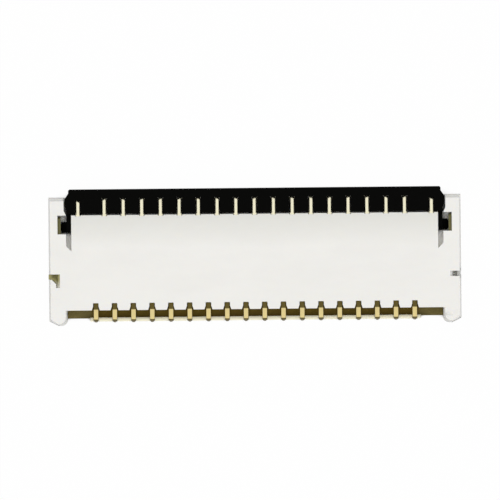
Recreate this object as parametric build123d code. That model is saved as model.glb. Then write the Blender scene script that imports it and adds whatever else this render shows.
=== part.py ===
"""Low back-flip connector for a flat flexible cable, with staggered contacts.

Units are millimetres. The underside and the solder feet lie at z = 0, +Z is up, the cable enters
from -Y and the lever lies at +Y when it is closed. The origin is the middle of the base of the
whole connector. The lever turns about an X axis and stands upright when it is open.
"""

import os
from math import atan2, cos, hypot, radians, sin, tan

from build123d import *

# The row of contacts
WAYS = 35
PITCH = 0.30
CONTACT_THICK = 0.14
CONTACT_PLAY = 0.01

# Stations across the width, from the outermost contact outwards
CABLE_SIDE = 0.35
END_CONTACT_SIDE = 0.55
ARM_SIDE = 0.78
LEVER_SIDE = 0.85
MOUTH_SIDE = 0.90
ARM_THICK = 0.13
ARM_PLAY = 0.02
LUG_THICK = 0.17
SHEET_GAP = 0.02
SHEET_THICK = 0.10
OUTER_WALL = 0.30
BULGE_OUT = 0.06
REAR_EAR_PLAY = 0.03

# Stations along the depth, from front to rear
EAR_NOSE = 0.49
ROOF_DEPTH = 3.04
LEVER_GAP = 0.04
LEVER_DEPTH = 0.79
EAR_TAIL = 0.58
PIVOT_INSET = 0.38

# The housing's height and its walls
HEIGHT = 1.00
FLOOR_SKIN = 0.12
ROOF_SKIN = 0.13
BASE_DEEP = 0.15
CABLE_GAP = 0.32
CABLE_LEAD = 0.10
EAR_CORNER = 0.21
EAR_DRAFT = 3.5
EAR_OVERLAP = 0.10
EAR_SLANT = 0.15
NOSE_SLOPE = 0.15
NOSE_SIDE = 0.30
NOSE_RADIUS = 0.06
NOSE_FLAT = 0.01
EAR_STEP = 0.12
EAR_STEP_SINK = 0.06
SILL_IN = 0.05
ROOF_NOTCH_DEEP = 0.23
ROOF_NOTCH_WIDE = 0.18
ROOF_NOTCH_MOUTH = 0.26
ROOF_NOTCH_FLARE = 0.12
REAR_SCALLOP = 0.03
GROOVE_REACH = 0.55
GROOVE_SINK = 0.40
GATE_MARK_SIZE = 0.16
GATE_MARK_SINK = 0.02
GATE_MARK_SIDE = 0.24
GATE_MARK_AHEAD = 0.09

# The front edge: dark aligner strip and pale lip
ALIGNER_DEEP = 0.23
ALIGNER_BED = 0.06
ALIGNER_TOP = 0.24
ALIGNER_UNDER = 0.20
ALIGNER_END_OUT = 0.03
LIP_DEEP = 0.13
LIP_HEIGHT = 0.18
LIP_SIDE = 0.18

# Contacts: arms, tails and the web between them
ARM_DEEP = 0.11
ARM_ROOF_GAP = 0.01
FRONT_TAIL = 0.39
FRONT_TAIL_SLOPE = 0.07
FRONT_TAIL_RADIUS = 0.05
REAR_TAIL = 0.80
REAR_TAIL_STEP = 0.06
REAR_ARM = 0.57
FRONT_REAR_ARM = 0.23
END_ARM_SHORT = 0.06
FRONT_TIP_BREAK = 0.04
REAR_TIP_BREAK = 0.02
FOOT_BREAK = 0.02
WEB_DEEP = 0.22
WEB_CLEAR = 0.02
WEB_CORNER = 0.05
TAIL_THICK = 0.12

# Contacts: the jaws for the cam and for the cable
JAW_DEPTH = 0.325
JAW_LEAD = 0.10
JAW_OVER = 0.02
FRONT_BUMP = 0.55
REAR_BUMP = 0.95
REAR_NOSE = 0.20
BUMP_RISE = 0.03
BUMP_FLAT = 0.04
BUMP_FOOT = 0.10
ARM_NOSE = 0.16
ARM_NOSE_SLOPE = 0.06
ARM_NOSE_DROP = 0.03
ARM_BUMP_BACK = 0.26
CABLE_THICK = 0.20

# The lever
OPEN_ANGLE = 90.0
LEVER_BOTTOM = 0.27
SLOT_PLAY = 0.015
SPINE_THICK = 0.205
LEVER_EDGE = 0.06
BULGE_START = 0.10
BULGE_FULL = 0.28
BULGE_SLOPE = 0.48
BULGE_END = 0.66
LEVER_CORNER = 0.04
ARM_RADIUS = 0.19
LUG_RADIUS = 0.175
PIN_RADIUS = 0.10
PIN_PLAY = 0.015
CAM_RISE = 0.125
CAM_WIDE = 0.085
CAM_PLAY = 0.015
SWING_PLAY = 0.03

# The hold-downs
HOLD_FRONT = 0.50
HOLD_REAR = 0.33
HOLD_TOP_GAP = 0.13
FOOT_RISE = 0.20
FRONT_FOOT = 0.72
REAR_FOOT = 0.35
HOLD_FRONT_CORNER = 0.15
HOLD_REAR_CORNER = 0.08
TAB_STATION = 0.99
TAB_DROP = 0.18
BLIND_TAB_DROP = 0.65
BLIND_TAB_INSET = 0.10
NOTCH_WIDE = 0.17
NOTCH_IN = 0.06
NOTCH_SHELF = 0.12
BLIND_DEEP = 0.15
BLIND_SINK = 0.58
NOTCH_LEG = 0.26
NOTCH_LEG_WIDE = 0.12
NOTCH_GUSSET = 0.14

# Places worked out from the values above
ROW_END = (WAYS - 1) * PITCH / 2
CABLE_X = ROW_END + CABLE_SIDE
MOUTH_X = ROW_END + MOUTH_SIDE
LEVER_X = ROW_END + LEVER_SIDE
ARM_IN_X = ROW_END + ARM_SIDE
ARM_OUT_X = ARM_IN_X + ARM_THICK
BULGE_X = ARM_OUT_X + BULGE_OUT
LUG_X = ARM_OUT_X + LUG_THICK
SHEET_X = LUG_X + SHEET_GAP
SHEET_OUT_X = SHEET_X + SHEET_THICK
SIDE_X = SHEET_OUT_X + OUTER_WALL
REAR_EAR_X = BULGE_X + REAR_EAR_PLAY

DEPTH = EAR_NOSE + ROOF_DEPTH + LEVER_GAP + LEVER_DEPTH
NOSE_Y = -DEPTH / 2
ROOF_Y = NOSE_Y + EAR_NOSE
ROOF_REAR_Y = ROOF_Y + ROOF_DEPTH
LEVER_Y = ROOF_REAR_Y + LEVER_GAP
LEVER_REAR_Y = LEVER_Y + LEVER_DEPTH
EAR_REAR_Y = ROOF_REAR_Y + EAR_TAIL
SILL_Y = EAR_REAR_Y - SILL_IN
PIVOT_Y = ROOF_REAR_Y - PIVOT_INSET
ALIGNER_Y = ROOF_Y - ALIGNER_DEEP
LIP_Y = ALIGNER_Y - LIP_DEEP
CAM_FRONT_Y = PIVOT_Y - CAM_RISE
WEB_REAR_Y = CAM_FRONT_Y - JAW_DEPTH
WEB_Y = WEB_REAR_Y - WEB_DEEP
STOP_Y = WEB_Y - WEB_CLEAR

BASE_TOP = FLOOR_SKIN + BASE_DEEP
CABLE_FLOOR = BASE_TOP + CONTACT_PLAY
CABLE_ROOF = CABLE_FLOOR + CABLE_GAP
SLOT_ROOF = HEIGHT - ROOF_SKIN
ARM_TOP = SLOT_ROOF - ARM_ROOF_GAP
ARM_BOTTOM = ARM_TOP - ARM_DEEP
PIVOT_Z = ARM_BOTTOM - CAM_PLAY - CAM_RISE
CRADLE_TOP = PIVOT_Z - CAM_RISE - CAM_PLAY
SLOT_W = CONTACT_THICK + 2 * CONTACT_PLAY
LIP_X = ROW_END + LIP_SIDE

ROOF_CORNER = hypot(PIVOT_INSET, HEIGHT - PIVOT_Z)
TEETH_RADIUS = max(hypot(LEVER_Y - PIVOT_Y, HEIGHT - PIVOT_Z), ROOF_CORNER + SWING_PLAY)
SPINE_RADIUS = LEVER_REAR_Y - PIVOT_Y - SPINE_THICK


def way_x(way):
    """Return the place across the width of one conductor, counted from the left."""
    return way * PITCH - ROW_END


FRONT_XS = [way_x(way) for way in range(0, WAYS, 2)]
REAR_XS = [way_x(way) for way in range(1, WAYS, 2)]
END_XS = [-ROW_END - END_CONTACT_SIDE, ROW_END + END_CONTACT_SIDE]


def block(x0, x1, y0, y1, z0, z1):
    """Return a box between two corners."""
    centre = Pos((x0 + x1) / 2, (y0 + y1) / 2, (z0 + z1) / 2)
    return centre * Box(abs(x1 - x0), y1 - y0, z1 - z0)


def plate(points, z0, z1):
    """Extrude a plan of (x, y) points from z0 to z1."""
    return Pos(0, 0, z0) * extrude(make_face(Polyline(*points, close=True)), z1 - z0)


def slab(points, x0, x1):
    """Extrude a side profile of (y, z, corner radius) points from x0 to x1."""
    line = FilletPolyline(
        *[(y, z) for y, z, _ in points], radius=[r for _, _, r in points], close=True
    )
    face = Plane.YZ * make_face(line)
    return Pos(x0, 0, 0) * extrude(face, x1 - x0)


def round_bar(radius, x0, x1):
    """Return a round bar on the pivot axis."""
    return Pos((x0 + x1) / 2, PIVOT_Y, PIVOT_Z) * Rot(0, 90, 0) * Cylinder(radius, abs(x1 - x0))


def both_sides(solid):
    """Return a solid of the right side and its mirror image."""
    return solid + mirror(solid, Plane.YZ)


def ear_plan(height):
    """Return the right ear's outline at a height, with its inner side inside the core."""
    draft = height * tan(radians(EAR_DRAFT))
    side_x, nose_y, rear_y = SIDE_X - draft, NOSE_Y + draft, EAR_REAR_Y - draft
    inner_x = MOUTH_X - EAR_OVERLAP
    nose_turn = NOSE_RADIUS * tan(atan2(NOSE_SLOPE, NOSE_SIDE - draft) / 2)
    nose_flat = SIDE_X - NOSE_SIDE - MOUTH_X - draft - nose_turn
    corners = [
        (inner_x, rear_y, 0),
        (side_x, rear_y, 0),
        (side_x, nose_y + NOSE_SLOPE, NOSE_RADIUS),
        (SIDE_X - NOSE_SIDE, nose_y, NOSE_RADIUS),
        (MOUTH_X + draft, nose_y, min(EAR_CORNER, nose_flat - NOSE_FLAT)),
        (MOUTH_X + draft, ROOF_Y + EAR_OVERLAP, 0),
        (inner_x, ROOF_Y + EAR_OVERLAP, 0),
    ]
    line = FilletPolyline(
        *[(x, y) for x, y, _ in corners], radius=[r for _, _, r in corners], close=True
    )
    return Pos(0, 0, height) * make_face(line)


def make_ear():
    """Return the right ear with drafted walls, opened beside the lever's end."""
    ear = loft([ear_plan(0), ear_plan(HEIGHT)], ruled=True)
    slot_out = ARM_OUT_X + ARM_PLAY
    opening = [
        (0, ROOF_REAR_Y),
        (slot_out, ROOF_REAR_Y),
        (REAR_EAR_X, ROOF_REAR_Y + EAR_SLANT),
        (REAR_EAR_X, EAR_REAR_Y + EAR_OVERLAP),
        (0, EAR_REAR_Y + EAR_OVERLAP),
    ]
    step_y = EAR_REAR_Y - EAR_STEP
    step = block(0, SIDE_X, step_y, EAR_REAR_Y, HEIGHT - EAR_STEP_SINK, HEIGHT)
    return ear - plate(opening, 0, HEIGHT) - step


def housing_block():
    """Return the housing's outside before its slots and pockets are cut."""
    core_x = MOUTH_X + EAR_OVERLAP
    core = block(-core_x, core_x, ROOF_Y, ROOF_REAR_Y, 0, HEIGHT)
    shelf = block(-core_x, core_x, ALIGNER_Y, ROOF_Y, 0, ALIGNER_BED)
    lip = block(-LIP_X, LIP_X, LIP_Y, ALIGNER_Y, 0, LIP_HEIGHT)
    sill_top = LEVER_BOTTOM - SWING_PLAY
    sill = block(-REAR_EAR_X, REAR_EAR_X, ROOF_REAR_Y, SILL_Y, 0, sill_top)
    return both_sides(make_ear()) + core + shelf + lip + sill


def cable_room():
    """Return the space that the cable slides into, with a flared mouth."""
    flare = [
        (ROOF_Y - CABLE_LEAD, CABLE_FLOOR - CABLE_LEAD / 2, 0),
        (ROOF_Y, CABLE_FLOOR - CABLE_LEAD / 4, 0),
        (ROOF_Y + CABLE_LEAD, CABLE_FLOOR, 0),
        (STOP_Y, CABLE_FLOOR, 0),
        (STOP_Y, CABLE_ROOF, 0),
        (ROOF_Y + CABLE_LEAD, CABLE_ROOF, 0),
        (ROOF_Y, CABLE_ROOF + CABLE_LEAD, 0),
        (ROOF_Y - CABLE_LEAD, CABLE_ROOF + CABLE_LEAD, 0),
    ]
    return slab(flare, -CABLE_X, CABLE_X)


def roof_notch(x):
    """Return the notch in the roof over one front contact, flared towards the mouth."""
    inner, outer = ROOF_NOTCH_WIDE / 2, ROOF_NOTCH_MOUTH / 2
    rear_y, flare_y = ROOF_Y + ROOF_NOTCH_DEEP, ROOF_Y + ROOF_NOTCH_FLARE
    plan = [
        (x - outer, ROOF_Y),
        (x + outer, ROOF_Y),
        (x + inner, flare_y),
        (x + inner, rear_y),
        (x - inner, rear_y),
        (x - inner, flare_y),
    ]
    return plate(plan, CABLE_ROOF, HEIGHT)


def contact_slots():
    """Return the slots that the contacts slide into, with the notches in the roof's edges."""
    half = SLOT_W / 2
    notch = ROOF_NOTCH_WIDE / 2
    cuts = []
    for x in FRONT_XS:
        cuts.append(block(x - half, x + half, ROOF_Y, ROOF_REAR_Y, FLOOR_SKIN, SLOT_ROOF))
        cuts.append(block(x - half, x + half, LIP_Y, ALIGNER_Y, 0, LIP_HEIGHT))
        cuts.append(roof_notch(x))
    for x in REAR_XS + END_XS:
        front = ROOF_Y + ROOF_NOTCH_DEEP
        cuts.append(block(x - half, x + half, front, EAR_REAR_Y, FLOOR_SKIN, SLOT_ROOF))
        cuts.append(
            block(x - notch, x + notch, ROOF_REAR_Y - REAR_SCALLOP, ROOF_REAR_Y, SLOT_ROOF, HEIGHT)
        )
    return cuts


def aligner_bed():
    """Return the room for the part of the aligner that lies under the roof's edge."""
    return block(-CABLE_X, CABLE_X, ROOF_Y, ROOF_Y + ALIGNER_UNDER, ALIGNER_BED, CABLE_FLOOR)


def lever_room():
    """Return the channel for the cam bar and, at the right end, the pocket, slot and groove."""
    reach = CAM_RISE + SWING_PLAY
    channel = block(
        -ARM_IN_X, ARM_IN_X, PIVOT_Y - reach, ROOF_REAR_Y, PIVOT_Z - reach, PIVOT_Z + reach
    )
    swing = ARM_RADIUS + SWING_PLAY
    slot_in = ARM_IN_X - ARM_PLAY
    slot_out = ARM_OUT_X + ARM_PLAY
    slot_floor = PIVOT_Z - swing
    slot = block(slot_in, slot_out, PIVOT_Y - swing, EAR_REAR_Y, slot_floor, HEIGHT)
    pocket = block(
        slot_in, SHEET_OUT_X, PIVOT_Y - swing, ROOF_REAR_Y, slot_floor, HEIGHT
    )
    front = PIVOT_Y - swing
    groove_plan = [
        (slot_in, front),
        (slot_out, front),
        (slot_out, front - GROOVE_REACH + slot_out - slot_in),
        (slot_in, front - GROOVE_REACH),
    ]
    groove = plate(groove_plan, HEIGHT - GROOVE_SINK, HEIGHT)
    cuts = [slot, pocket, groove]
    return [channel] + cuts + [mirror(cut, Plane.YZ) for cut in cuts]


def leg_plan(play):
    """Return the plan of the left notch's leg and gusset, drawn in by some play."""
    notch_y = ROOF_Y + TAB_STATION
    inner = SHEET_OUT_X - NOTCH_IN
    outer = inner + NOTCH_LEG_WIDE
    return [
        (-inner - play, notch_y + play),
        (-outer - NOTCH_GUSSET + play, notch_y + play),
        (-outer + play, notch_y - NOTCH_GUSSET + play),
        (-outer + play, notch_y - NOTCH_LEG + play),
        (-inner - play, notch_y - NOTCH_LEG + play),
    ]


def hold_down_room():
    """Return the slots for the hold-downs and the notches over their tabs.

    The left notch goes right through, shows the tab and has a leg. The right one is blind.
    """
    front = ROOF_Y + HOLD_FRONT - CONTACT_PLAY
    rear = PIVOT_Y + HOLD_REAR + CONTACT_PLAY
    slot = block(SHEET_X, SHEET_OUT_X, front, rear, 0, HEIGHT - HOLD_TOP_GAP)
    notch_in = SHEET_OUT_X - NOTCH_IN
    front_y = ROOF_Y + TAB_STATION
    rear_y = front_y + NOTCH_WIDE
    open_notch = block(-SIDE_X, -notch_in, front_y, rear_y, 0, HEIGHT)
    leg = plate(leg_plan(0), 0, HEIGHT)
    blind = block(notch_in, SIDE_X, front_y, rear_y, HEIGHT - NOTCH_SHELF, HEIGHT)
    deep_x = SHEET_OUT_X + CONTACT_PLAY
    deep = block(deep_x, deep_x + BLIND_DEEP, front_y, rear_y, HEIGHT - BLIND_SINK, HEIGHT)
    tab_y = rear_y - SHEET_THICK - 2 * CONTACT_PLAY
    tab_top = HEIGHT - BLIND_TAB_DROP + CONTACT_PLAY
    tab_room = block(notch_in, SIDE_X, tab_y, rear_y, 0, tab_top)
    return [slot, mirror(slot, Plane.YZ), open_notch, leg, blind, deep, tab_room]


def gate_mark():
    """Return the shallow mark that the mould's gate leaves on the right ear's nose."""
    x, y = SIDE_X - GATE_MARK_SIDE, ROOF_Y - GATE_MARK_AHEAD
    half = GATE_MARK_SIZE / 2
    return block(x - half, x + half, y - half, y + half, HEIGHT - GATE_MARK_SINK, HEIGHT)


def make_housing():
    """Cut the housing's rooms, slots and pockets out of its block."""
    cuts = [cable_room(), aligner_bed(), gate_mark()]
    cuts += contact_slots() + lever_room() + hold_down_room()
    return housing_block() - cuts


def make_aligner():
    """Return the dark strip across the mouth, with a ramp under the roof for the cable."""
    strip = block(-MOUTH_X, MOUTH_X, ALIGNER_Y, ROOF_Y, ALIGNER_BED, ALIGNER_TOP)
    end_x = LIP_X + CONTACT_PLAY
    end_y = ALIGNER_Y - ALIGNER_END_OUT
    strip += both_sides(block(end_x, MOUTH_X, end_y, ALIGNER_Y, ALIGNER_BED, ALIGNER_TOP))
    rear_y = ROOF_Y + ALIGNER_UNDER
    ramp = [
        (ROOF_Y, ALIGNER_BED, 0),
        (rear_y, ALIGNER_BED, 0),
        (rear_y, CABLE_FLOOR, 0),
        (ROOF_Y, ALIGNER_TOP, 0),
    ]
    strip += slab(ramp, -CABLE_X, CABLE_X)
    half = SLOT_W / 2
    cuts = [block(x - half, x + half, ALIGNER_Y, rear_y, FLOOR_SKIN, HEIGHT) for x in FRONT_XS]
    return strip - cuts


def bump_heights():
    """Return how high the lower bump stands and how low the upper one hangs."""
    low = CABLE_FLOOR + BUMP_RISE
    return low, low + CABLE_THICK


def lower_front(bump_y):
    """Return the lower arm's upper edge, from the web forward past its bump."""
    low, _ = bump_heights()
    return [
        (WEB_Y, BASE_TOP, 0),
        (bump_y + BUMP_FOOT, BASE_TOP, 0),
        (bump_y + BUMP_FLAT, low, 0),
        (bump_y - BUMP_FLAT, low, 0),
        (bump_y - BUMP_FOOT, BASE_TOP, 0),
    ]


def upper_arm(bump_y, arm_rear_y):
    """Return the upper arm's edge, from its rear end forward and back to the web."""
    _, high = bump_heights()
    tip_y = bump_y - ARM_NOSE
    return [
        (arm_rear_y, ARM_BOTTOM, 0),
        (arm_rear_y, ARM_TOP, 0),
        (tip_y + ARM_NOSE_SLOPE, ARM_TOP, 0),
        (tip_y, ARM_BOTTOM - ARM_NOSE_DROP, 0),
        (bump_y - BUMP_FLAT, high, 0),
        (bump_y + BUMP_FLAT, high, 0),
        (bump_y + ARM_NOSE, ARM_BOTTOM - ARM_NOSE_DROP, 0),
        (bump_y + ARM_BUMP_BACK, ARM_BOTTOM, 0),
        (WEB_Y - WEB_CORNER, ARM_BOTTOM, 0),
        (WEB_Y, ARM_BOTTOM - WEB_CORNER, 0),
    ]


def cradle(rear_y):
    """Return the lower jaw under the cam, from its rear end to the web and up."""
    return [
        (rear_y, CRADLE_TOP, 0),
        (CAM_FRONT_Y, CRADLE_TOP, 0),
        (CAM_FRONT_Y - JAW_LEAD, BASE_TOP, 0),
        (WEB_REAR_Y, BASE_TOP, 0),
        (WEB_REAR_Y, ARM_BOTTOM - WEB_CORNER, 0),
        (WEB_REAR_Y + WEB_CORNER, ARM_BOTTOM, 0),
    ]


def stamp(outline, x, tip_y, tip_break):
    """Cut a contact from sheet at x and break the corners of the end at tip_y."""
    sheet = slab(outline, x - CONTACT_THICK / 2, x + CONTACT_THICK / 2)
    corners = [e for e in sheet.edges().filter_by(Axis.Z) if abs(e.center().Y - tip_y) < FOOT_BREAK]
    return chamfer(corners, tip_break)


def front_contact(x):
    """Return one front contact: tail at the mouth, two jaws for the cable and two for the cam."""
    tip_y = ROOF_Y - FRONT_TAIL
    bump_y = ROOF_Y + FRONT_BUMP
    jaw_y = PIVOT_Y + CAM_RISE + JAW_OVER
    foot_rear = ALIGNER_Y - CONTACT_PLAY
    outline = [
        (tip_y, 0, 0),
        (foot_rear - FOOT_BREAK, 0, 0),
        (foot_rear, FLOOR_SKIN, 0),
        (jaw_y, FLOOR_SKIN, 0),
        *cradle(jaw_y),
        *upper_arm(bump_y, PIVOT_Y + FRONT_REAR_ARM),
        *lower_front(bump_y),
        (tip_y + FRONT_TAIL_SLOPE, BASE_TOP, FRONT_TAIL_RADIUS),
        (tip_y, TAIL_THICK, 0),
    ]
    return stamp(outline, x, tip_y, FRONT_TIP_BREAK)


def rear_contact(x, shorter=0.0):
    """Return one rear contact: its arm shows in the lever's slot and its tail lies below it."""
    bump_y = ROOF_Y + REAR_BUMP
    jaw_y = PIVOT_Y + CAM_RISE + JAW_OVER
    arm_y = ROOF_REAR_Y + REAR_ARM - shorter
    step_y = SILL_Y + CONTACT_PLAY
    tail_y = ROOF_REAR_Y + REAR_TAIL
    over_sill = FLOOR_SKIN + TAIL_THICK
    outline = [
        (bump_y - REAR_NOSE, FLOOR_SKIN, 0),
        (step_y, FLOOR_SKIN, 0),
        (step_y + REAR_TAIL_STEP, 0, 0),
        (tail_y, 0, 0),
        (tail_y, TAIL_THICK, 0),
        (step_y + 2 * REAR_TAIL_STEP, TAIL_THICK, 0),
        (step_y + FOOT_BREAK, over_sill, 0),
        (jaw_y + JAW_LEAD, over_sill, 0),
        *cradle(jaw_y),
        *upper_arm(bump_y, arm_y),
        *lower_front(bump_y),
        (bump_y - REAR_NOSE, BASE_TOP, 0),
    ]
    return stamp(outline, x, arm_y, REAR_TIP_BREAK)


def lever_corner(side):
    """Return what is cut off one rear corner of the lever; side is 1 for the right, -1 for the left."""
    plan = [
        (side * LEVER_X, LEVER_REAR_Y - LEVER_CORNER),
        (side * (LEVER_X - LEVER_CORNER), LEVER_REAR_Y),
        (side * LEVER_X, LEVER_REAR_Y),
    ]
    return plate(plan, LEVER_BOTTOM, HEIGHT)


def lever_bar():
    """Return the lever's comb: a bar with a hollow front, slotted round the rear contacts."""
    profile = [
        (LEVER_Y, LEVER_BOTTOM, 0),
        (LEVER_REAR_Y - 2 * LEVER_EDGE, LEVER_BOTTOM, LEVER_EDGE),
        (LEVER_REAR_Y, LEVER_BOTTOM + 2 * LEVER_EDGE, LEVER_EDGE),
        (LEVER_REAR_Y, HEIGHT, LEVER_EDGE),
        (LEVER_Y, HEIGHT, 0),
    ]
    bar = slab(profile, -LEVER_X, LEVER_X) - lever_corner(1) - lever_corner(-1)
    bulge = [
        (ARM_IN_X, LEVER_Y),
        (ARM_OUT_X, LEVER_Y),
        (ARM_OUT_X, LEVER_Y + BULGE_START),
        (BULGE_X, LEVER_Y + BULGE_FULL),
        (BULGE_X, LEVER_Y + BULGE_SLOPE),
        (LEVER_X, LEVER_Y + BULGE_END),
        (ARM_IN_X, LEVER_Y + BULGE_END),
    ]
    bar += both_sides(plate(bulge, LEVER_BOTTOM, HEIGHT))
    half = CONTACT_THICK / 2 + SLOT_PLAY
    slots = [round_bar(SPINE_RADIUS, x - half, x + half) for x in REAR_XS]
    slots += [round_bar(SPINE_RADIUS - END_ARM_SHORT, x - half, x + half) for x in END_XS]
    return bar - round_bar(TEETH_RADIUS, -SIDE_X, SIDE_X) - slots


def arm_face():
    """Return the side view of an arm: a round end on the pivot and a straight shank."""
    low, high = PIVOT_Z - ARM_RADIUS, PIVOT_Z + ARM_RADIUS
    shank_y = LEVER_Y + BULGE_FULL
    round_end = ThreePointArc((PIVOT_Y, high), (PIVOT_Y - ARM_RADIUS, PIVOT_Z), (PIVOT_Y, low))
    shank = Polyline((PIVOT_Y, low), (shank_y, low), (shank_y, high), (PIVOT_Y, high))
    return Plane.YZ * make_face([round_end, shank])


def lever_end(side):
    """Return the arm, lug and pin at one end; side is 1 for the right and -1 for the left."""
    arm_x = ARM_IN_X if side > 0 else -ARM_OUT_X
    arm = Pos(arm_x, 0, 0) * extrude(arm_face(), ARM_THICK)
    lug = round_bar(LUG_RADIUS, side * ARM_OUT_X, side * LUG_X)
    pin = round_bar(PIN_RADIUS, side * LUG_X, side * SHEET_OUT_X)
    return arm + lug + pin


def cam_bar():
    """Return the oval bar that spreads the contacts' rear jaws when the lever is closed."""
    oval = Plane.YZ * (Pos(PIVOT_Y, PIVOT_Z) * Ellipse(CAM_WIDE, CAM_RISE))
    return Pos(-ARM_IN_X, 0, 0) * extrude(oval, 2 * ARM_IN_X)


def swept_roof():
    """Return the roof's corner as the open lever meets it, with room to spare."""
    angle = radians(OPEN_ANGLE)
    drop = HEIGHT - PIVOT_Z + SWING_PLAY / 2
    centre_y = PIVOT_Y + (drop - DEPTH / 2) * sin(angle)
    centre_z = PIVOT_Z + (drop - DEPTH / 2) * cos(angle)
    roof = Box(4 * SIDE_X, DEPTH, DEPTH)
    return Pos(0, centre_y, centre_z) * Rot(-OPEN_ANGLE, 0, 0) * roof


def make_lever():
    """Join the comb, the ends and the cam bar into one moulding."""
    comb = lever_bar() - swept_roof()
    return comb + cam_bar() + lever_end(1) + lever_end(-1)


def hold_down_sheet():
    """Return the right hold-down's upright sheet, with its pivot hole and two feet."""
    front_y = ROOF_Y + HOLD_FRONT
    rear_y = PIVOT_Y + HOLD_REAR
    top = HEIGHT - HOLD_TOP_GAP - CONTACT_PLAY
    outline = [
        (front_y, 0, 0),
        (front_y + FRONT_FOOT, 0, 0),
        (front_y + FRONT_FOOT, FOOT_RISE, 0),
        (rear_y - REAR_FOOT, FOOT_RISE, 0),
        (rear_y - REAR_FOOT, 0, 0),
        (rear_y, 0, 0),
        (rear_y, top, HOLD_REAR_CORNER),
        (front_y, top, HOLD_FRONT_CORNER),
    ]
    sheet = slab(outline, SHEET_X, SHEET_OUT_X)
    return sheet - round_bar(PIN_RADIUS + PIN_PLAY, SHEET_X, SHEET_OUT_X)


def upright_tab(out_x, top):
    """Return the tab that is bent out of a right hold-down and reaches the board."""
    rear_y = ROOF_Y + TAB_STATION + NOTCH_WIDE - CONTACT_PLAY
    return block(SHEET_OUT_X, out_x, rear_y - SHEET_THICK, rear_y, 0, top)


def make_hold_down_right():
    """Return the right hold-down, whose tab stays below the blind notch."""
    return hold_down_sheet() + upright_tab(SIDE_X - BLIND_TAB_INSET, HEIGHT - BLIND_TAB_DROP)


def make_hold_down_left():
    """Return the left hold-down, whose tab has a flange that fills the open notch and its leg."""
    top = HEIGHT - TAB_DROP
    tab = mirror(hold_down_sheet() + upright_tab(SIDE_X, top), Plane.YZ)
    front_y = ROOF_Y + TAB_STATION + CONTACT_PLAY
    rear_y = ROOF_Y + TAB_STATION + NOTCH_WIDE - CONTACT_PLAY
    flange = block(-SIDE_X, -SHEET_OUT_X, front_y, rear_y, top - SHEET_THICK, top)
    return tab + flange + plate(leg_plan(CONTACT_PLAY), top - SHEET_THICK, top)


def export_all():
    """Write one STEP file for each piece."""
    os.makedirs("parts", exist_ok=True)
    pieces = {
        "housing": make_housing(),
        "tail_aligner": make_aligner(),
        "lever": make_lever(),
        "hold_down_right": make_hold_down_right(),
        "hold_down_left": make_hold_down_left(),
        "end_contact_left": rear_contact(END_XS[0], END_ARM_SHORT),
        "end_contact_right": rear_contact(END_XS[1], END_ARM_SHORT),
    }
    for number, x in enumerate(FRONT_XS, 1):
        pieces[f"front_contact_{number:02d}"] = front_contact(x)
    for number, x in enumerate(REAR_XS, 1):
        pieces[f"rear_contact_{number:02d}"] = rear_contact(x)
    for name, solid in pieces.items():
        export_step(solid, f"parts/{name}.step")
    print(f"pivot at y {PIVOT_Y:.4f}, z {PIVOT_Z:.4f}")


export_all()
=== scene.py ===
"""Finish of a low back-flip connector for a flat flexible cable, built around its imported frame.

The file is laid out as an add-on: each group of pieces has its operator, and main() calls them in
order. Lengths are in metres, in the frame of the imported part: X runs along the rows of contacts,
the cable comes from -Y, and Z points up from the board.
"""

import math

import bmesh
import bpy
from bpy.props import FloatProperty, FloatVectorProperty, PointerProperty
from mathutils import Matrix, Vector


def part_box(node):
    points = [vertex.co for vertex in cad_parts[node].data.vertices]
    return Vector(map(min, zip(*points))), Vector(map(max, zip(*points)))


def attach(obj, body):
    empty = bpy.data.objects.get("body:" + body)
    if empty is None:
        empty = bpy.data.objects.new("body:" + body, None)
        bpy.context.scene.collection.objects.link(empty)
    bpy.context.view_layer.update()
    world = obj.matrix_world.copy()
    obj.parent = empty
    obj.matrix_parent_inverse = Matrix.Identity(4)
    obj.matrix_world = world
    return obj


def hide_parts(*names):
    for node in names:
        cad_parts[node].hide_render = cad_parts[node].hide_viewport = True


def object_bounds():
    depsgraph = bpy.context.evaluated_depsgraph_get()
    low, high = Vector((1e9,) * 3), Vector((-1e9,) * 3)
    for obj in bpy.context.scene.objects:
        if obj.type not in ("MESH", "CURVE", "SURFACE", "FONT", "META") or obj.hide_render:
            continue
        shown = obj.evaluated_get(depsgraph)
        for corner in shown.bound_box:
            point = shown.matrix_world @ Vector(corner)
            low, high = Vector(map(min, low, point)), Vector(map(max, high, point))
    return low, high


bl_info = {
    "name": "Flat cable connector finish",
    "version": (1, 0, 0),
    "blender": (4, 5, 0),
    "location": "3D View > Sidebar > Connector",
    "description": "Dresses a fine-pitch flat cable connector and lights it for a picture",
    "category": "Object",
}

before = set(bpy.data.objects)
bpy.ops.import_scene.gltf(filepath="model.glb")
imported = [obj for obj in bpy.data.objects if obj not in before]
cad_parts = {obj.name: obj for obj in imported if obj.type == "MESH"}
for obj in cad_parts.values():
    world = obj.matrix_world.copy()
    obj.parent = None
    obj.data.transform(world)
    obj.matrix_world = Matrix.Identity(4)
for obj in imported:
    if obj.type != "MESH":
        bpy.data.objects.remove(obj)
CAD_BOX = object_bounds()
MM = 0.001

# Picture, light and floor
PICTURE_PIXELS = 500
SENSOR = 36.0
CLIP_FACTOR = 100
WHITE = (1.0, 1.0, 1.0, 1.0)
SUN_TILT = (math.radians(6), math.radians(5), 0.0)
GLOSS_FULL = 0.9
FLOOR_GREY = (0.75, 0.75, 0.75, 1.0)
FLOOR_ROUGHNESS = 0.9
FLOOR_DROP = 1e-6
FLOOR_HALF = 0.25
OPEN_FROM = 0.30
OPEN_FULL = 0.45

# Limits on a mesh of one point, flat, smooth and corner, and of a corner's length in radii
MERGE = 1e-7
FLAT_ANGLE = math.radians(1.0)
SMOOTH_ANGLE = math.radians(50)
CORNER_ANGLE = math.radians(40)
CORNER_RADII = 3

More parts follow.
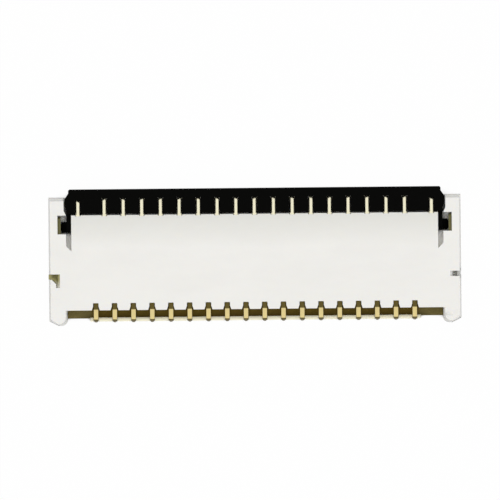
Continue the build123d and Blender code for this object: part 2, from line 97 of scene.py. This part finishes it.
# Places where a finish, painted light and painted shade change, beside what the frame gives
ROOF_REAR = 1.31 * MM
ROOF_FADE = 1.0 * MM
LEVER_ARM = 0.4 * MM
LIP_PAST_TAILS = 0.3 * MM
LIP_UNDER_ALIGNER = 0.04 * MM
NOTCH_DEPTH = 0.19 * MM
NOTCH_FRONT = -0.76 * MM
NOTCH_REAR = -0.44 * MM
OUTER_BAND = 0.12 * MM
ALIGNER_FADE = 0.12 * MM
GOLD_FROM = 0.085 * MM
GOLD_TO = 0.42 * MM
GOLD_FADE = 0.02 * MM
FLANGE_REAR = 0.0
LEG_OLIVE_TO = -0.72 * MM
LEG_PAINTED_LIGHT_FROM = -0.98 * MM

# Strength of what varies over the plastic and the metal
FLOW_SHADE = 0.90
SPECK_COLOUR = 0.05
SPECK_GLOSS = 0.25
CLOUD_COLOUR = 0.10
CLOUD_GLOSS = 0.18
LINE_HEIGHT = 4e-7

# First, second and result socket of a Mix node, which has a set for each type of data
MIX_SOCKETS = {"FLOAT": (2, 3, 0), "RGBA": (6, 7, 2)}


# Sizes and colours that a user would change


class StageSettings(bpy.types.PropertyGroup):
    """Camera, light and floor"""

    pixels_per_mm: FloatProperty(
        name="Pixels per mm", description="Scale of the picture on the roof", default=31.3
    )
    centre_x: FloatProperty(
        name="Origin across", description="Pixel column of the connector's origin", default=254.9
    )
    centre_y: FloatProperty(
        name="Origin down", description="Pixel row of the connector's origin", default=256.0
    )
    roll: FloatProperty(
        name="Roll", description="Turn of the connector in the picture, anticlockwise",
        default=math.radians(0.55), subtype="ANGLE",
    )
    lens: FloatProperty(name="Lens", description="Focal length", default=1000.0, unit="CAMERA")
    sky_high: FloatProperty(
        name="Sky overhead", description="Strength of the even light overhead", default=0.715
    )
    sky_low: FloatProperty(
        name="Sky aside", description="Strength of the even light near the horizon", default=0.48
    )
    gloss_high: FloatProperty(
        name="Gloss overhead", description="What gloss reflects overhead", default=0.95
    )
    gloss_low: FloatProperty(
        name="Gloss aside", description="What gloss reflects near the horizon", default=0.30
    )
    sun: FloatProperty(name="Sun", description="Strength of the soft key light", default=1.15)
    sun_softness: FloatProperty(
        name="Sun softness", description="Angular size of the key light",
        default=math.radians(50), subtype="ANGLE",
    )
    cover: FloatProperty(
        name="Cover", description="How near a part covers the floor and keeps it dark",
        default=1.0 * MM, unit="LENGTH", precision=6,
    )
    white: FloatProperty(
        name="White share", description="How much of the open floor shows as plain white",
        default=0.98,
    )


class PlasticSettings(bpy.types.PropertyGroup):
    """Moulded parts"""

    housing: FloatVectorProperty(
        name="Housing", description="Warm white of the housing", subtype="COLOR",
        size=3, default=(0.870, 0.860, 0.825),
    )
    # Painted shade: the roof is drawn darker next to the lever, where shade falls.
    shade: FloatVectorProperty(
        name="Shade", description="Duller white of the roof where it runs under the lever",
        subtype="COLOR", size=3, default=(0.745, 0.740, 0.695),
    )
    # Painted shade: the grey stands for shade in the deep notch on the right side.
    notch: FloatVectorProperty(
        name="Notch", description="Grey of the floor of the right side's notch", subtype="COLOR",
        size=3, default=(0.55, 0.55, 0.53),
    )
    # Painted light: a brighter, warmer cream offsets the roof's shade on the lip and stands for
    # light through the thin lip.
    lip: FloatVectorProperty(
        name="Lip", description="Cream of the thin lip below the front tails", subtype="COLOR",
        size=3, default=(1.0, 0.95, 0.74),
    )
    lever: FloatVectorProperty(
        name="Lever", description="Black of the lever", subtype="COLOR",
        size=3, default=(0.0013, 0.0013, 0.0010),
    )
    # Painted shade: the dark brown stands for the deep shadow in the cable mouth, warmed by a
    # painted reflection of the gold tails.
    aligner: FloatVectorProperty(
        name="Aligner", description="Dark brown of the strip in the mouth", subtype="COLOR",
        size=3, default=(0.098, 0.064, 0.010),
    )
    # Painted shade: past the contacts the strip's shadow is painted olive, without the gold's warm
    # reflection.
    aligner_end: FloatVectorProperty(
        name="Aligner ends", description="Olive brown of the strip's bare ends", subtype="COLOR",
        size=3, default=(0.135, 0.108, 0.038),
    )
    edge: FloatProperty(
        name="Edge radius", description="Rounding of moulded edges", default=0.012 * MM,
        unit="LENGTH", precision=6,
    )
    outer_edge: FloatProperty(
        name="Outer edge radius", description="Rounding of the ears' outer edges",
        default=0.035 * MM, unit="LENGTH", precision=6,
    )
    grain: FloatProperty(
        name="Grain", description="Size of the moulded texture", default=0.03 * MM,
        unit="LENGTH", precision=6,
    )


class MetalSettings(bpy.types.PropertyGroup):
    """Contacts and hold-downs"""

    gold: FloatVectorProperty(
        name="Front gold", description="Plating of the front contacts", subtype="COLOR",
        size=3, default=(0.84, 0.69, 0.32),
    )
    # Painted highlight: a paler, lit copy of the gold plating.
    gold_painted_highlight: FloatVectorProperty(
        name="Rear gold", description="Plating of the rear contacts", subtype="COLOR",
        size=3, default=(0.93, 0.88, 0.65),
    )
    # Bare metal at the front contacts' cut tips, and painted shade: it darkens their bent tips and
    # the part inside the roof's notch.
    bare_and_painted_shade: FloatVectorProperty(
        name="Bare metal", description="Under-plating where there is no gold", subtype="COLOR",
        size=3, default=(0.15, 0.115, 0.035),
    )
    # Painted shade: the dark olive is the gold plating as it looks in shade, put into the colour.
    sheet: FloatVectorProperty(
        name="Hold-down", description="Dull olive plating of the hold-downs", subtype="COLOR",
        size=3, default=(0.19, 0.18, 0.085),
    )
    # Painted light: the flange and the leg's end are lighter copies of the plating, lifting them
    # out of the notch's shade.
    flange: FloatVectorProperty(
        name="Flange", description="Olive plating of the left hold-down's flange", subtype="COLOR",
        size=3, default=(0.44, 0.41, 0.19),
    )
    leg_painted_highlight: FloatVectorProperty(
        name="Flange tip", description="Pale end of the left hold-down's leg", subtype="COLOR",
        size=3, default=(1.0, 1.0, 0.93),
    )
    edge: FloatProperty(
        name="Edge radius", description="Rounding of the other sheet edges",
        default=0.004 * MM, unit="LENGTH", precision=6,
    )
    tail_edge: FloatProperty(
        name="Tail edge radius", description="Rounding of the front contacts' edges",
        default=0.032 * MM, unit="LENGTH", precision=6,
    )


# Shader nodes


def feed(tree, value, socket):
    """Link a socket to another one, or set it where the value is a plain one."""
    if isinstance(value, bpy.types.NodeSocket):
        tree.links.new(value, socket)
    else:
        socket.default_value = value


def place(tree, space="Object"):
    """Return the sockets of a point's place across, along and up."""
    coords = tree.nodes.new("ShaderNodeTexCoord")
    split = tree.nodes.new("ShaderNodeSeparateXYZ")
    tree.links.new(coords.outputs[space], split.inputs["Vector"])
    return split.outputs["X"], split.outputs["Y"], split.outputs["Z"]


def noise(tree, scale, detail, roughness=0.5, stretch=(1.0, 1.0, 1.0)):
    """Add a noise texture on Object coordinates and return its node."""
    coords = tree.nodes.new("ShaderNodeTexCoord")
    mapping = tree.nodes.new("ShaderNodeMapping")
    mapping.inputs["Scale"].default_value = stretch
    texture = tree.nodes.new("ShaderNodeTexNoise")
    texture.inputs["Detail"].default_value = detail
    texture.inputs["Roughness"].default_value = roughness
    feed(tree, scale, texture.inputs["Scale"])
    tree.links.new(coords.outputs["Object"], mapping.inputs["Vector"])
    tree.links.new(mapping.outputs["Vector"], texture.inputs["Vector"])
    return texture


def ramp(tree, value, low, high, to_low=0.0, to_high=1.0):
    """Map a value from one range to another and return the result socket."""
    node = tree.nodes.new("ShaderNodeMapRange")
    node.inputs["From Min"].default_value = low
    node.inputs["From Max"].default_value = high
    node.inputs["To Min"].default_value = to_low
    node.inputs["To Max"].default_value = to_high
    tree.links.new(value, node.inputs["Value"])
    return node.outputs["Result"]


def calculate(tree, operation, *values, clamp=False):
    """Add a maths node on sockets or numbers and return its result socket."""
    node = tree.nodes.new("ShaderNodeMath")
    node.operation = operation
    node.use_clamp = clamp
    for value, socket in zip(values, node.inputs):
        feed(tree, value, socket)
    return node.outputs["Value"]


def blend(tree, factor, first, second, data="RGBA", mode="MIX"):
    """Mix two colours or numbers, given as sockets or values, and return the result socket."""
    node = tree.nodes.new("ShaderNodeMix")
    node.data_type = data
    node.blend_type = mode
    first_socket, second_socket, result = MIX_SOCKETS[data]
    feed(tree, factor, node.inputs[0])
    feed(tree, first, node.inputs[first_socket])
    feed(tree, second, node.inputs[second_socket])
    return node.outputs[result]


def height_normal(tree, height, distance):
    """Return the normal that a height gives, at a distance given as a socket or a number."""
    bump = tree.nodes.new("ShaderNodeBump")
    feed(tree, distance, bump.inputs["Distance"])
    tree.links.new(height, bump.inputs["Height"])
    return bump.outputs["Normal"]


def seen_ray(tree):
    """Return a socket that is 1 for camera, glossy and transmission rays."""
    path = tree.nodes.new("ShaderNodeLightPath")
    seen = path.outputs["Is Camera Ray"]
    for name in ("Is Glossy Ray", "Is Transmission Ray"):
        seen = calculate(tree, "MAXIMUM", seen, path.outputs[name])
    return seen


# Node groups that more than one material uses

SKIN = (
    ("Colour", "NodeSocketColor"),
    ("Roughness", "NodeSocketFloat"),
    ("Normal", "NodeSocketVector"),
)


def new_group(name, inputs):
    """Make a node group that puts out a skin, and return it with its input node."""
    group = bpy.data.node_groups.new(name, "ShaderNodeTree")
    for label, kind, value in inputs:
        socket = group.interface.new_socket(name=label, in_out="INPUT", socket_type=kind)
        socket.default_value = value
    for label, kind in SKIN:
        group.interface.new_socket(name=label, in_out="OUTPUT", socket_type=kind)
    return group, group.nodes.new("NodeGroupInput")


def close_group(group, colour, roughness, normal):
    """Link a group's results to its output node."""
    sink = group.nodes.new("NodeGroupOutput")
    group.links.new(colour, sink.inputs["Colour"])
    group.links.new(roughness, sink.inputs["Roughness"])
    group.links.new(normal, sink.inputs["Normal"])


def moulded_group():
    """Flow marks, fine grain and a slightly uneven gloss, as on injection-moulded resin."""
    name = "Moulded skin"
    if name in bpy.data.node_groups:
        return bpy.data.node_groups[name]
    group, source = new_group(name, [
        ("Colour", "NodeSocketColor", (0.8, 0.8, 0.8, 1)),
        ("Flow colour", "NodeSocketColor", (0.7, 0.7, 0.7, 1)),
        ("Flow", "NodeSocketFloat", 0.3),
        ("Grain scale", "NodeSocketFloat", 30000.0),
        ("Grain height", "NodeSocketFloat", 1e-6),
        ("Roughness", "NodeSocketFloat", 0.5),
    ])
    given = source.outputs
    flow = noise(group, scale=620.0, detail=3.0, roughness=0.55, stretch=(1.0, 2.6, 1.0))
    speck = noise(group, scale=9000.0, detail=2.0)
    grain = noise(group, scale=given["Grain scale"], detail=4.0, roughness=0.6)
    marks = ramp(group, flow.outputs["Fac"], low=0.38, high=0.66)
    share = calculate(group, "MULTIPLY", marks, given["Flow"])
    colour = blend(group, share, given["Colour"], given["Flow colour"])
    colour = blend(group, SPECK_COLOUR, colour, speck.outputs["Color"], mode="SOFT_LIGHT")
    gloss = calculate(
        group, "MULTIPLY_ADD", speck.outputs["Fac"], SPECK_GLOSS, given["Roughness"]
    )
    close_group(
        group, colour, gloss, height_normal(group, grain.outputs["Fac"], given["Grain height"])
    )
    return group


def plated_group():
    """Rolling lines and cloudy plating, with gold only between two places along Y and the bare
    colour beyond, which on the front contacts is also painted shade.
    """
    name = "Plated strip"
    if name in bpy.data.node_groups:
        return bpy.data.node_groups[name]
    group, source = new_group(name, [
        ("Plating", "NodeSocketColor", (0.8, 0.6, 0.3, 1)),
        ("Bare and painted shade", "NodeSocketColor", (0.2, 0.15, 0.05, 1)),
        ("Gold from", "NodeSocketFloat", -1.0),
        ("Gold to", "NodeSocketFloat", 1.0),
        ("Fade", "NodeSocketFloat", 1e-5),
        ("Roughness", "NodeSocketFloat", 0.3),
    ])
    given = source.outputs
    cloud = noise(group, scale=2600.0, detail=3.0)
    lines = noise(group, scale=24000.0, detail=3.0, roughness=0.6, stretch=(1.0, 0.06, 1.0))
    _, along, _ = place(group)
    ends = []
    for above, below in ((along, given["Gold from"]), (given["Gold to"], along)):
        inside = calculate(group, "SUBTRACT", above, below)
        ends.append(calculate(group, "DIVIDE", inside, given["Fade"], clamp=True))
    gold = calculate(group, "MULTIPLY", *ends)
    cloudy = blend(
        group, CLOUD_COLOUR, given["Plating"], cloud.outputs["Color"], mode="SOFT_LIGHT"
    )
    colour = blend(group, gold, given["Bare and painted shade"], cloudy)
    gloss = calculate(
        group, "MULTIPLY_ADD", cloud.outputs["Fac"], CLOUD_GLOSS, given["Roughness"]
    )
    close_group(group, colour, gloss, height_normal(group, lines.outputs["Fac"], LINE_HEIGHT))
    return group


# Finishes


def new_material(name):
    """Make a material with one Principled shader and return both."""
    material = bpy.data.materials.new(name)
    material.use_nodes = True
    tree = material.node_tree
    tree.nodes.clear()
    output = tree.nodes.new("ShaderNodeOutputMaterial")
    shader = tree.nodes.new("ShaderNodeBsdfPrincipled")
    tree.links.new(shader.outputs["BSDF"], output.inputs["Surface"])
    return material, shader


def skin(material, shader, group, values):
    """Place a shared group in a material, set its inputs and feed the shader from it."""
    tree = material.node_tree
    node = tree.nodes.new("ShaderNodeGroup")
    node.node_tree = group
    for name, value in values.items():
        node.inputs[name].default_value = value
    tree.links.new(node.outputs["Colour"], shader.inputs["Base Color"])
    tree.links.new(node.outputs["Roughness"], shader.inputs["Roughness"])
    tree.links.new(node.outputs["Normal"], shader.inputs["Normal"])


def rgba(colour, factor=1.0):
    """Return a colour with full alpha, multiplied by a factor."""
    return (*(channel * factor for channel in colour), 1.0)


def plastic(name, colour, flow, roughness, specular, grain_height):
    """Make a moulded resin and return it with its shader."""
    settings = bpy.context.scene.connector_plastic
    material, shader = new_material(name)
    skin(material, shader, moulded_group(), {
        "Colour": rgba(colour),
        "Flow colour": rgba(colour, FLOW_SHADE),
        "Flow": flow,
        "Grain scale": 1.0 / settings.grain,
        "Grain height": grain_height,
        "Roughness": roughness,
    })
    shader.inputs["Specular IOR Level"].default_value = specular
    return material, shader


def metal(name, colour, roughness, gold_from=-1.0, gold_to=1.0, fade=1.0):
    """Make a strip, plated between two places along Y and with bare metal and painted shade
    beyond, with its shader.
    """
    settings = bpy.context.scene.connector_metal
    material, shader = new_material(name)
    skin(material, shader, plated_group(), {
        "Plating": rgba(colour),
        "Bare and painted shade": rgba(settings.bare_and_painted_shade),
        "Gold from": gold_from,
        "Gold to": gold_to,
        "Fade": fade,
        "Roughness": roughness,
    })
    shader.inputs["Metallic"].default_value = 1.0
    return material, shader


def recolour(tree, shader, share, colour):
    """Blend the shader's colour into another one by a share."""
    base = shader.inputs["Base Color"].links[0].from_socket
    tree.links.new(blend(tree, share, base, rgba(colour)), shader.inputs["Base Color"])


def within(tree, across, side_x):
    """Return a socket that is 1 nearer to the middle than a place across the width."""
    return calculate(tree, "LESS_THAN", calculate(tree, "ABSOLUTE", across), side_x)


def paint_lip_light(tree, shader, colour, side_x, rear_y):
    """Paint light on the lip, a brighter, warmer cream that offsets the roof's shade: ahead of a
    place and between the ears.
    """
    across, along, _ = place(tree)
    ahead = calculate(tree, "LESS_THAN", along, rear_y)
    share = calculate(tree, "MULTIPLY", within(tree, across, side_x), ahead)
    recolour(tree, shader, share, colour)


def paint_roof_shade(tree, shader, colour, side_x, rear_y, fade):
    """Paint shade on the roof towards its rear edge, next to the lever, between the lever's arms.
    """
    across, along, _ = place(tree)
    near = ramp(tree, along, rear_y - fade, rear_y)
    share = calculate(tree, "MULTIPLY", within(tree, across, side_x), near)
    recolour(tree, shader, share, colour)


def paint_notch_shade(tree, shader, colour, low, high):
    """Paint shade on the walls of a notch, which a box encloses."""
    share = 1.0
    for value, least, most in zip(place(tree), low, high):
        for larger, smaller in ((value, least), (most, value)):
            inside = calculate(tree, "GREATER_THAN", larger, smaller)
            share = calculate(tree, "MULTIPLY", share, inside)
    recolour(tree, shader, share, colour)


def paint_aligner_end_shade(tree, shader, colour, from_x, fade):
    """Paint the aligner's shade olive at its ends, beyond a place across the width, where no gold
    reflects into it.
    """
    across, _, _ = place(tree)
    past = calculate(tree, "SUBTRACT", calculate(tree, "ABSOLUTE", across), from_x)
    recolour(tree, shader, calculate(tree, "DIVIDE", past, fade, clamp=True), colour)


def paint_flange_light(tree, shader, flange, tip):
    """Paint light on a hold-down's flange, a lighter copy of its plating, and a painted highlight
    on the end of the leg ahead of it.
    """
    _, along, _ = place(tree)
    recolour(tree, shader, calculate(tree, "LESS_THAN", along, FLANGE_REAR), flange)
    recolour(tree, shader, ramp(tree, along, LEG_OLIVE_TO, LEG_PAINTED_LIGHT_FROM), tip)


# Shapes


def nodes_named(start):
    """Return the CAD nodes whose names begin with the given words, in order."""
    return sorted(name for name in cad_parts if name.startswith(start))


def row_end():
    """Return how far the row of front contacts reaches from the middle."""
    return max(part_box(name)[1].x for name in nodes_named("front_contact"))


def merged_copy(node):
    """Return a bmesh of a CAD node with its triangles joined into whole faces."""
    mesh = bmesh.new()
    mesh.from_mesh(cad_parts[node].data)
    bmesh.ops.remove_doubles(mesh, verts=mesh.verts, dist=MERGE)
    bmesh.ops.dissolve_limit(
        mesh, angle_limit=FLAT_ANGLE, verts=mesh.verts, edges=mesh.edges,
        use_dissolve_boundaries=False,
    )
    bmesh.ops.recalc_face_normals(mesh, faces=mesh.faces)
    return mesh


def round_corners(mesh, radius, segments=2, test=None):
    """Round the sharp outward edges of a bmesh that are long enough and pass a test."""
    edges = [
        edge
        for edge in mesh.edges
        if edge.is_manifold
        and edge.is_convex
        and edge.calc_face_angle() > CORNER_ANGLE
        and edge.calc_length() > CORNER_RADII * radius
        and (test is None or test(edge))
    ]
    bmesh.ops.bevel(
        mesh, geom=edges, offset=radius, offset_type="OFFSET", segments=segments, profile=0.5,
        affect="EDGES", clamp_overlap=True, material=-1, loop_slide=True,
    )


def piece_from(mesh, name, material, body, slot, *nodes):
    """Turn a bmesh into a piece that stands for CAD nodes and rides on a body."""
    data = bpy.data.meshes.new(name)
    mesh.to_mesh(data)
    mesh.free()
    data.materials.append(material)
    for polygon in data.polygons:
        polygon.use_smooth = True
    data.set_sharp_from_angle(angle=SMOOTH_ANGLE)
    piece = bpy.data.objects.new(name, data)
    bpy.context.scene.collection.objects.link(piece)
    normals = piece.modifiers.new("flat faces stay flat", "WEIGHTED_NORMAL")
    normals.keep_sharp = True
    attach(piece, body)
    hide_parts(*nodes)


def dress_strips(start, material, slot, radius):
    """Give each contact or hold-down of one kind its rounded edges and plating."""
    for node in nodes_named(start):
        mesh = merged_copy(node)
        round_corners(mesh, radius)
        piece_from(mesh, f"plated_{node}", material, "base", slot, node)


# Operators


class CONNECTOR_OT_stage(bpy.types.Operator):
    """Set the camera, the lights and the floor"""

    bl_idname = "connector.stage"
    bl_label = "Stage"

    def execute(self, context):
        settings = context.scene.connector_stage
        self.add_camera(context, settings)
        self.add_sun(context, settings)
        self.set_world(context, settings)
        self.add_floor(context, settings)
        context.scene.view_settings.view_transform = "Standard"
        return {"FINISHED"}

    def add_camera(self, context, settings):
        """Look straight down, with the origin on its pixel of the picture."""
        span = PICTURE_PIXELS / settings.pixels_per_mm * MM
        height = CAD_BOX[1].z + span * settings.lens / SENSOR
        middle = PICTURE_PIXELS / 2
        shift = Vector((middle - settings.centre_x, settings.centre_y - middle))
        shift *= MM / settings.pixels_per_mm
        data = bpy.data.cameras.new("camera")
        data.lens = settings.lens
        data.sensor_width = SENSOR
        data.clip_start = height / CLIP_FACTOR
        data.clip_end = height * CLIP_FACTOR
        camera = bpy.data.objects.new("camera", data)
        roll = settings.roll
        camera.location = (
            shift.x * math.cos(roll) + shift.y * math.sin(roll),
            shift.y * math.cos(roll) - shift.x * math.sin(roll),
            height,
        )
        camera.rotation_euler = (0.0, 0.0, -roll)
        context.scene.collection.objects.link(camera)
        context.scene.camera = camera

    def add_sun(self, context, settings):
        """Light softly from above, a little from the front and the right."""
        data = bpy.data.lights.new("key", "SUN")
        data.energy = settings.sun
        data.angle = settings.sun_softness
        key = bpy.data.objects.new("key", data)
        key.visible_glossy = False
        key.rotation_euler = SUN_TILT
        context.scene.collection.objects.link(key)

    def set_world(self, context, settings):
        """Show white to the camera, and light and reflect more from overhead than from aside."""
        world = bpy.data.worlds.new("studio")
        world.use_nodes = True
        tree = world.node_tree
        tree.nodes.clear()
        _, _, up = place(tree, "Generated")
        light = ramp(tree, up, 0.0, 1.0, settings.sky_low, settings.sky_high)
        gloss = ramp(tree, up, 0.0, GLOSS_FULL, settings.gloss_low, settings.gloss_high)
        path = tree.nodes.new("ShaderNodeLightPath")
        level = blend(tree, path.outputs["Is Glossy Ray"], light, gloss, "FLOAT")
        level = blend(tree, path.outputs["Is Camera Ray"], level, 1.0, "FLOAT")
        background = tree.nodes.new("ShaderNodeBackground")
        background.inputs["Color"].default_value = WHITE
        output = tree.nodes.new("ShaderNodeOutputWorld")
        tree.links.new(level, background.inputs["Strength"])
        tree.links.new(background.outputs["Background"], output.inputs["Surface"])
        context.scene.world = world

    def add_floor(self, context, settings):
        """Lay a plain pale floor that looks white and still takes the connector's shadow."""
        mesh = bmesh.new()
        bmesh.ops.create_grid(mesh, x_segments=1, y_segments=1, size=FLOOR_HALF)
        bmesh.ops.translate(mesh, verts=mesh.verts, vec=(0.0, 0.0, CAD_BOX[0].z - FLOOR_DROP))
        data = bpy.data.meshes.new("floor")
        mesh.to_mesh(data)
        mesh.free()
        data.materials.append(self.floor_paint(settings))
        floor = bpy.data.objects.new("floor", data)
        context.scene.collection.objects.link(floor)

    def floor_paint(self, settings):
        """Make a pale grey that glows white to the camera where no part covers it."""
        material, shader = new_material("floor")
        tree = material.node_tree
        shader.inputs["Base Color"].default_value = FLOOR_GREY
        shader.inputs["Roughness"].default_value = FLOOR_ROUGHNESS
        shader.inputs["Specular IOR Level"].default_value = 0.0
        covered = tree.nodes.new("ShaderNodeAmbientOcclusion")
        covered.inputs["Distance"].default_value = settings.cover
        bare = ramp(tree, covered.outputs["AO"], OPEN_FROM, OPEN_FULL, 0.0, settings.white)
        glow = tree.nodes.new("ShaderNodeEmission")
        mix = tree.nodes.new("ShaderNodeMixShader")
        output = next(node for node in tree.nodes if node.type == "OUTPUT_MATERIAL")
        tree.links.new(calculate(tree, "MULTIPLY", seen_ray(tree), bare), mix.inputs[0])
        tree.links.new(shader.outputs["BSDF"], mix.inputs[1])
        tree.links.new(glow.outputs["Emission"], mix.inputs[2])
        tree.links.new(mix.outputs["Shader"], output.inputs["Surface"])
        return material


class CONNECTOR_OT_housing(bpy.types.Operator):
    """Finish the white housing"""

    bl_idname = "connector.housing"
    bl_label = "Housing"

    def execute(self, context):
        settings = context.scene.connector_plastic
        material, shader = plastic(
            "warm white resin", settings.housing,
            flow=0.22, roughness=0.42, specular=0.35, grain_height=6e-7,
        )
        shader.inputs["Subsurface Weight"].default_value = 0.12
        shader.inputs["Subsurface Radius"].default_value = (1.0, 0.85, 0.6)
        shader.inputs["Subsurface Scale"].default_value = 0.05 * MM
        self.paint_light_and_shade(material.node_tree, shader, settings)
        mesh = merged_copy("housing")
        self.round_roof(mesh, settings)
        piece_from(mesh, "moulded_housing", material, "base", "housing", "housing")
        return {"FINISHED"}

    def paint_light_and_shade(self, tree, shader, settings):
        """Paint light on the lip, and shade on the roof next to the lever and in the right side's
        notch.
        """
        aligner_low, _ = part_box("tail_aligner")
        paint_lip_light(
            tree, shader, settings.lip,
            row_end() + LIP_PAST_TAILS, aligner_low.y + LIP_UNDER_ALIGNER,
        )
        _, lever_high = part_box("lever")
        # Painted shade on the roof next to the lever.
        paint_roof_shade(tree, shader, settings.shade, lever_high.x - LEVER_ARM, ROOF_REAR, ROOF_FADE)
        low, high = CAD_BOX
        paint_notch_shade(
            tree, shader, settings.notch,
            (high.x - NOTCH_DEPTH, NOTCH_FRONT, low.z),
            (high.x, NOTCH_REAR, high.z - 2 * settings.edge),
        )

    def round_roof(self, mesh, settings):
        """Round the ears' outer edges first, and then, less, the other edges of the roof."""
        _, high = CAD_BOX

        def on_roof(edge):
            return min(vert.co.z for vert in edge.verts) > high.z - settings.edge

        def on_side(edge):
            nearest = min(abs(vert.co.x) for vert in edge.verts)
            return on_roof(edge) and nearest > high.x - OUTER_BAND

        round_corners(mesh, settings.outer_edge, 3, on_side)
        round_corners(mesh, settings.edge, 2, on_roof)


class CONNECTOR_OT_aligner(bpy.types.Operator):
    """Finish the dark strip in the mouth, whose dark brown is painted shade"""

    bl_idname = "connector.aligner"
    bl_label = "Aligner"

    def execute(self, context):
        settings = context.scene.connector_plastic
        material, shader = plastic(
            "dark brown painted mouth shade", settings.aligner,
            flow=0.4, roughness=0.6, specular=0.06, grain_height=1e-6,
        )
        paint_aligner_end_shade(
            material.node_tree, shader, settings.aligner_end, row_end(), ALIGNER_FADE
        )
        mesh = merged_copy("tail_aligner")
        piece_from(mesh, "aligner_painted_shade", material, "base", "aligner", "tail_aligner")
        return {"FINISHED"}


class CONNECTOR_OT_lever(bpy.types.Operator):
    """Finish the black lever"""

    bl_idname = "connector.lever"
    bl_label = "Lever"

    def execute(self, context):
        settings = context.scene.connector_plastic
        material, _ = plastic(
            "black resin", settings.lever,
            flow=0.5, roughness=0.45, specular=0.035, grain_height=1e-6,
        )
        mesh = merged_copy("lever")
        round_corners(mesh, settings.edge)
        piece_from(mesh, "moulded_lever", material, "lever", "lever", "lever")
        return {"FINISHED"}


class CONNECTOR_OT_front_contacts(bpy.types.Operator):
    """Finish the front contacts, whose cut tips are bare, with painted shade on the bent tip and
    inside the roof's notch
    """

    bl_idname = "connector.front_contacts"
    bl_label = "Front contacts"

    def execute(self, context):
        settings = context.scene.connector_metal
        low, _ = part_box("front_contact_01")
        # Beyond the gold the front contacts get painted shade: at the bent tip and inside the
        # roof's notch.
        material, _ = metal(
            "gold plating", settings.gold, roughness=0.26,
            gold_from=low.y + GOLD_FROM, gold_to=low.y + GOLD_TO, fade=GOLD_FADE,
        )
        dress_strips("front_contact", material, "front_contacts", settings.tail_edge)
        return {"FINISHED"}


class CONNECTOR_OT_rear_contacts(bpy.types.Operator):
    """Finish the rear and end contacts, whose paler gold is a painted highlight"""

    bl_idname = "connector.rear_contacts"
    bl_label = "Rear contacts"

    def execute(self, context):
        settings = context.scene.connector_metal
        material, _ = metal("gold plating with painted highlight", settings.gold_painted_highlight, roughness=0.08)
        dress_strips("rear_contact", material, "rear_contacts", settings.edge)
        dress_strips("end_contact", material, "rear_contacts", settings.edge)
        return {"FINISHED"}


class CONNECTOR_OT_hold_downs(bpy.types.Operator):
    """Finish the two hold-downs, whose olive is painted shade, with painted light on the flange
    and the leg's end
    """

    bl_idname = "connector.hold_downs"
    bl_label = "Hold-downs"

    def execute(self, context):
        settings = context.scene.connector_metal
        material, shader = metal("olive sheet in painted shade", settings.sheet, roughness=0.42)
        paint_flange_light(material.node_tree, shader, settings.flange, settings.leg_painted_highlight)
        dress_strips("hold_down", material, "hold_downs", settings.edge)
        return {"FINISHED"}


OPERATORS = (
    CONNECTOR_OT_stage,
    CONNECTOR_OT_housing,
    CONNECTOR_OT_aligner,
    CONNECTOR_OT_lever,
    CONNECTOR_OT_front_contacts,
    CONNECTOR_OT_rear_contacts,
    CONNECTOR_OT_hold_downs,
)


class CONNECTOR_PT_panel(bpy.types.Panel):
    """Lists the connector's operators and settings"""

    bl_idname = "CONNECTOR_PT_panel"
    bl_label = "Flat cable connector"
    bl_space_type = "VIEW_3D"
    bl_region_type = "UI"
    bl_category = "Connector"

    def draw(self, context):
        layout = self.layout
        for operator in OPERATORS:
            layout.operator(operator.bl_idname)
        for group in (
            context.scene.connector_stage,
            context.scene.connector_plastic,
            context.scene.connector_metal,
        ):
            box = layout.box()
            for name in group.__annotations__:
                box.prop(group, name)


CLASSES = (StageSettings, PlasticSettings, MetalSettings, *OPERATORS, CONNECTOR_PT_panel)


def register():
    """Register the classes and hang the settings on the scene."""
    for item in CLASSES:
        bpy.utils.register_class(item)
    bpy.types.Scene.connector_stage = PointerProperty(type=StageSettings)
    bpy.types.Scene.connector_plastic = PointerProperty(type=PlasticSettings)
    bpy.types.Scene.connector_metal = PointerProperty(type=MetalSettings)


def unregister():
    """Undo register()."""
    del bpy.types.Scene.connector_metal
    del bpy.types.Scene.connector_plastic
    del bpy.types.Scene.connector_stage
    for item in reversed(CLASSES):
        bpy.utils.unregister_class(item)


def main():
    """Register the classes and make every piece in order."""
    register()
    for operator in OPERATORS:
        group, name = operator.bl_idname.split(".")
        getattr(getattr(bpy.ops, group), name)()


if __name__ == "__main__":
    main()
